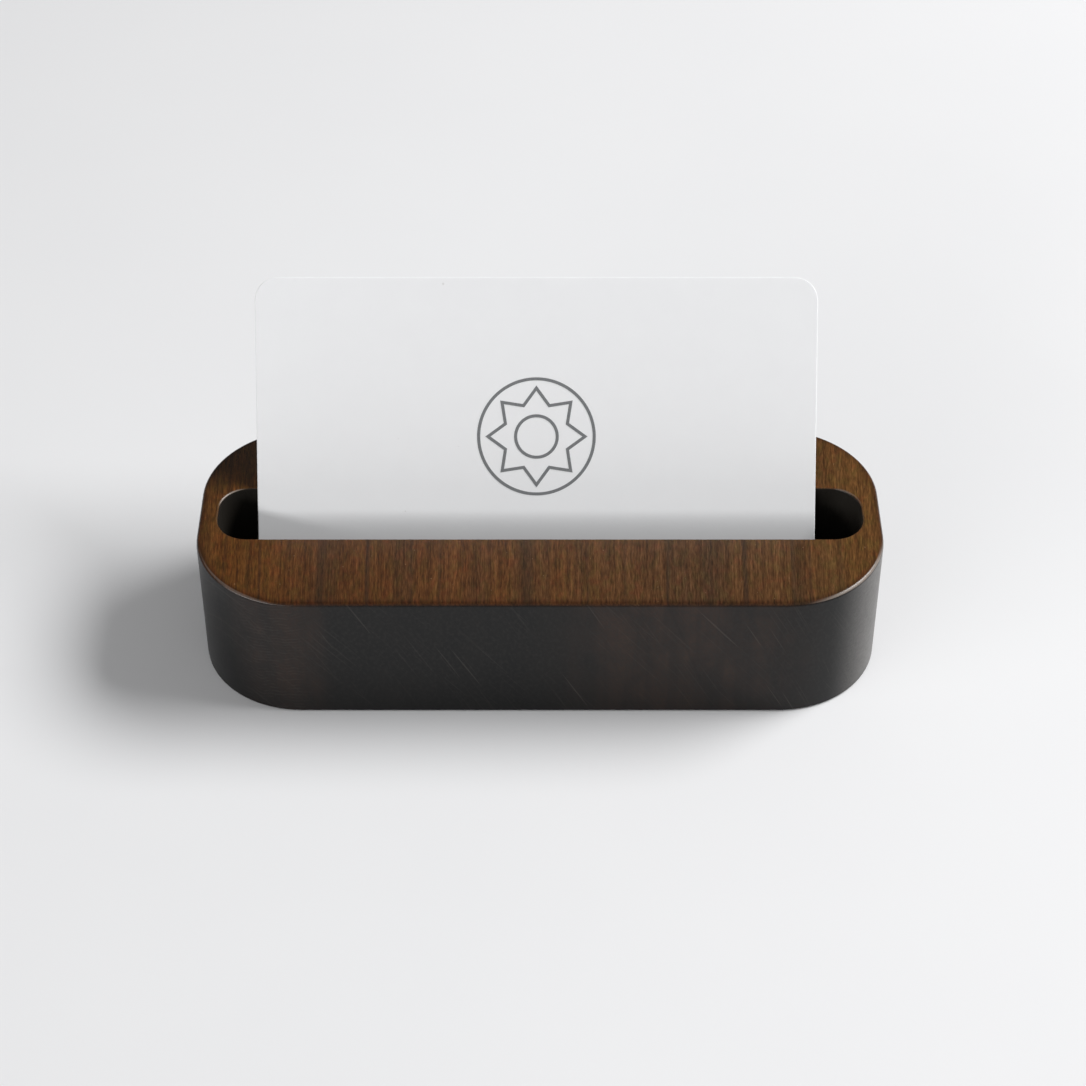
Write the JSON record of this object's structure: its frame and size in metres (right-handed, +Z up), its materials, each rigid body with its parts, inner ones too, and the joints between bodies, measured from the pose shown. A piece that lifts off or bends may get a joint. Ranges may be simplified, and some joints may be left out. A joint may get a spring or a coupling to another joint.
{
  "type": "business card holder",
  "caption": "Solid hardwood desk block with a long slot; a business card stands in the slot, leans back on its rear rim and lifts out by hand.",
  "frame": {"origin": "centre of the block's flat base, on the surface that it stands on", "axes": "+X along the slot, +Y from the front to the back, +Z up; the card faces -Y and leans back towards +Y"},
  "size_m": [0.11, 0.0468, 0.0523],
  "materials": {
    "dark_hardwood": "satin",
    "card_stock": "matte",
    "printed_ink": "matte"
  },
  "bodies": {
    "holder": {"holder_block": "dark_hardwood"},
    "card": {"business_card": "card_stock"}
  },
  "joints": [
    {"name": "card_lift", "type": "slide", "parent": "holder", "child": "card", "axis": [0, 0.5534, 0.8329], "range_m": [0, 0.03]}
  ]
}
